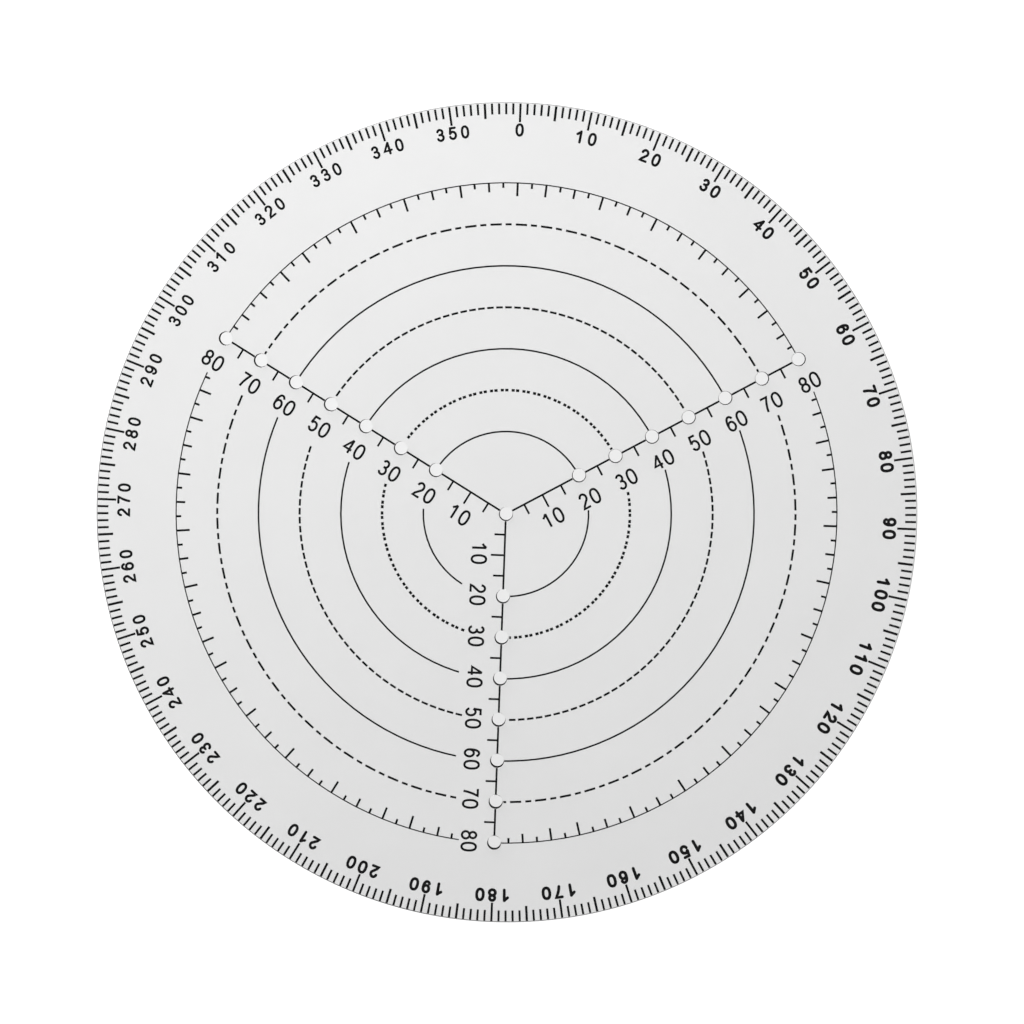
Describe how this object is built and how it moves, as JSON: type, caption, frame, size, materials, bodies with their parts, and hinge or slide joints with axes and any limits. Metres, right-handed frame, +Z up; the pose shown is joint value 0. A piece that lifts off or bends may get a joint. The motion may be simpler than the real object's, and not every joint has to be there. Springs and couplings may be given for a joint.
{
  "type": "circle template",
  "caption": "Round clear acrylic drawing template with a degree scale on its rim, printed circles, and pencil holes along spokes for drawing circles.",
  "frame": {"origin": "centre of the disc on its underside, on the axis of the centre hole", "axes": "+Z up out of the printed face, +Y towards the 0 degree mark, +X towards the 90 degree mark"},
  "size_m": [0.199, 0.199, 0.003],
  "materials": {
    "clear_acrylic": "clear colourless acrylic sheet, polished faces with faint handling scratches, darker sloping laser-cut edges",
    "black_ink": "thin black screen-printed ink, semi-matte"
  },
  "bodies": {
    "root": {"template_disc": "clear_acrylic", "right_spoke_line_0_20": "black_ink", "right_spoke_line_20_30": "black_ink", "right_spoke_line_30_40": "black_ink", "right_spoke_line_40_50": "black_ink", "right_spoke_line_50_60": "black_ink", "right_spoke_line_60_70": "black_ink", "right_spoke_line_70_80": "black_ink", "lower_spoke_line_0_20": "black_ink", "lower_spoke_line_20_30": "black_ink", "lower_spoke_line_30_40": "black_ink", "lower_spoke_line_40_50": "black_ink", "lower_spoke_line_50_60": "black_ink", "lower_spoke_line_60_70": "black_ink", "lower_spoke_line_70_80": "black_ink", "left_spoke_line_0_20": "black_ink", "left_spoke_line_20_30": "black_ink", "left_spoke_line_30_40": "black_ink", "left_spoke_line_40_50": "black_ink", "left_spoke_line_50_60": "black_ink", "left_spoke_line_60_70": "black_ink", "left_spoke_line_70_80": "black_ink", "circle_20_upper_arc": "black_ink", "circle_40_upper_arc": "black_ink", "circle_60_upper_arc": "black_ink", "circle_80_upper_ticked_arc": "black_ink", "circle_20_right_arc": "black_ink", "circle_40_right_arc": "black_ink", "circle_60_right_arc": "black_ink", "circle_80_right_ticked_arc": "black_ink", "circle_20_left_arc": "black_ink", "circle_40_left_arc": "black_ink", "circle_60_left_arc": "black_ink", "circle_80_left_ticked_arc": "black_ink"}
  },
  "joints": []
}
